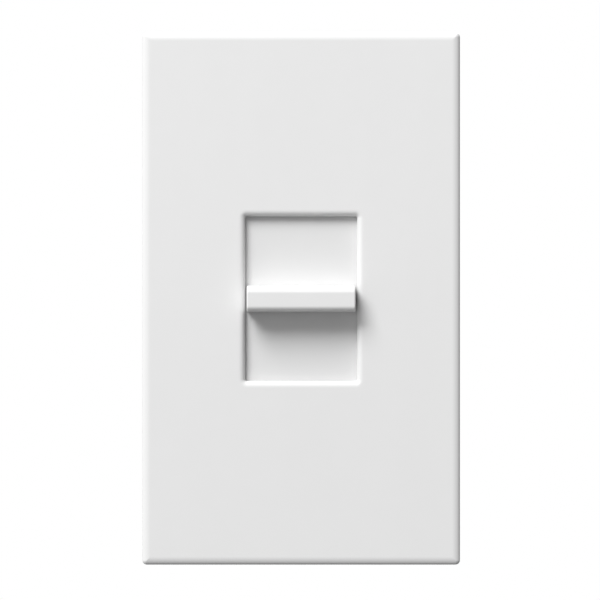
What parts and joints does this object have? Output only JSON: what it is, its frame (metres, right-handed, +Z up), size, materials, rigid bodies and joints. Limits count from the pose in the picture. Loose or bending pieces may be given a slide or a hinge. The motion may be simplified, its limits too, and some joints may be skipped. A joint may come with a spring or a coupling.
{
  "type": "slide dimmer switch",
  "caption": "Single-gang slide dimmer with a push-fit rectangular plate, a recessed window and a horizontal fin knob that slides up and down.",
  "frame": {"origin": "middle of the faceplate's outline on the wall's surface", "axes": "+Z up, -Y out of the wall towards the room, +X to the right seen from the room"},
  "size_m": [0.0698, 0.0441, 0.117],
  "materials": {
    "cover_plastic": "white moulded thermoplastic, fine satin texture",
    "knob_plastic": "white moulded thermoplastic, slightly glossier than the plate",
    "inner_plastic": "natural white moulded thermoplastic",
    "housing_plastic": "black moulded phenolic",
    "yoke_aluminium": "rolled sheet, light brushing",
    "zinc_steel": "zinc plated",
    "brass": "stamped and turned brass",
    "contact_bronze": "phosphor bronze and copper strip",
    "ground_green": "green dyed screw",
    "fibre": "vulcanised fibre",
    "board_phenolic": "paper phenolic board",
    "carbon_track": "carbon film on phenolic",
    "thermal_pad": "thin silicone pad",
    "ferrite": "coated powdered iron ring",
    "enamelled_wire": "enamelled copper wire",
    "film_capacitor": "yellow potted case",
    "component_body": "lacquered component body"
  },
  "bodies": {
    "device": {"plate_adapter": "inner_plastic", "slider_frame": "inner_plastic", "trimmer_body": "inner_plastic", "back_housing": "housing_plastic", "triac_case": "housing_plastic", "yoke": "yoke_aluminium", "adapter_screw_top": "zinc_steel", "adapter_screw_bottom": "zinc_steel", "mounting_screw_top": "zinc_steel", "mounting_screw_bottom": "zinc_steel", "housing_screw_1": "zinc_steel", "housing_screw_2": "zinc_steel", "housing_screw_3": "zinc_steel", "housing_screw_4": "zinc_steel", "triac_screw": "zinc_steel", "triac_tab": "zinc_steel", "pot_frame": "zinc_steel", "screw_retainer_top": "fibre", "screw_retainer_bottom": "fibre", "insulation_sheet": "fibre", "circuit_board": "board_phenolic", "pot_track": "carbon_track", "switch_rail_line": "contact_bronze", "switch_rail_load": "contact_bronze", "triac_pad": "thermal_pad", "choke_core": "ferrite", "choke_winding": "enamelled_wire", "filter_capacitor": "film_capacitor", "timing_capacitor": "component_body", "resistor_1": "component_body", "resistor_2": "component_body", "diac": "component_body", "line_plate": "brass", "load_plate": "brass"},
    "slider": {"slider_knob": "knob_plastic", "dust_shutter": "cover_plastic", "pot_lever": "zinc_steel", "carriage": "housing_plastic", "wiper": "contact_bronze", "switch_arm": "inner_plastic", "switch_bridge": "contact_bronze"},
    "faceplate": {"faceplate": "cover_plastic"},
    "trimmer_shaft": {"trimmer_shaft": "inner_plastic"},
    "line_clamp": {"line_clamp": "zinc_steel"},
    "line_screw": {"line_screw": "brass"},
    "load_clamp": {"load_clamp": "zinc_steel"},
    "load_screw": {"load_screw": "brass"},
    "ground_clamp": {"ground_clamp": "zinc_steel"},
    "ground_screw": {"ground_screw": "ground_green"}
  },
  "joints": [
    {"name": "slider_travel", "type": "slide", "parent": "device", "child": "slider", "axis": [0, 0, 1], "range_m": [-0.0145, 0.0145]},
    {"name": "faceplate_pull", "type": "slide", "parent": "device", "child": "faceplate", "axis": [0, -1, 0], "range_m": [0, 0.025]},
    {"name": "trimmer_turn", "type": "hinge", "parent": "device", "child": "trimmer_shaft", "pos_m": [-0.0179, 0, -0.02], "axis": [0, -1, 0], "range_deg": [-135, 135]},
    {"name": "line_clamp_travel", "type": "slide", "parent": "device", "child": "line_clamp", "axis": [1, 0, 0], "range_m": [0, 0.0022]},
    {"name": "line_screw_turn", "type": "hinge", "parent": "line_clamp", "child": "line_screw", "pos_m": [0.0164, 0.011, 0.012], "axis": [1, 0, 0], "range_deg": [0, 992]},
    {"name": "load_clamp_travel", "type": "slide", "parent": "device", "child": "load_clamp", "axis": [1, 0, 0], "range_m": [0, 0.0022]},
    {"name": "load_screw_turn", "type": "hinge", "parent": "load_clamp", "child": "load_screw", "pos_m": [0.0164, 0.011, -0.012], "axis": [1, 0, 0], "range_deg": [0, 992]},
    {"name": "ground_clamp_travel", "type": "slide", "parent": "device", "child": "ground_clamp", "axis": [0, 0, -1], "range_m": [0, 0.0022]},
    {"name": "ground_screw_turn", "type": "hinge", "parent": "ground_clamp", "child": "ground_screw", "pos_m": [-0.01, 0.0065, -0.0378], "axis": [0, 0, -1], "range_deg": [0, 992]}
  ],
  "couplings": [
    {"joint": "line_screw_turn", "follows": "line_clamp_travel", "rad_per_m": 7854},
    {"joint": "load_screw_turn", "follows": "load_clamp_travel", "rad_per_m": 7854},
    {"joint": "ground_screw_turn", "follows": "ground_clamp_travel", "rad_per_m": 7854}
  ]
}
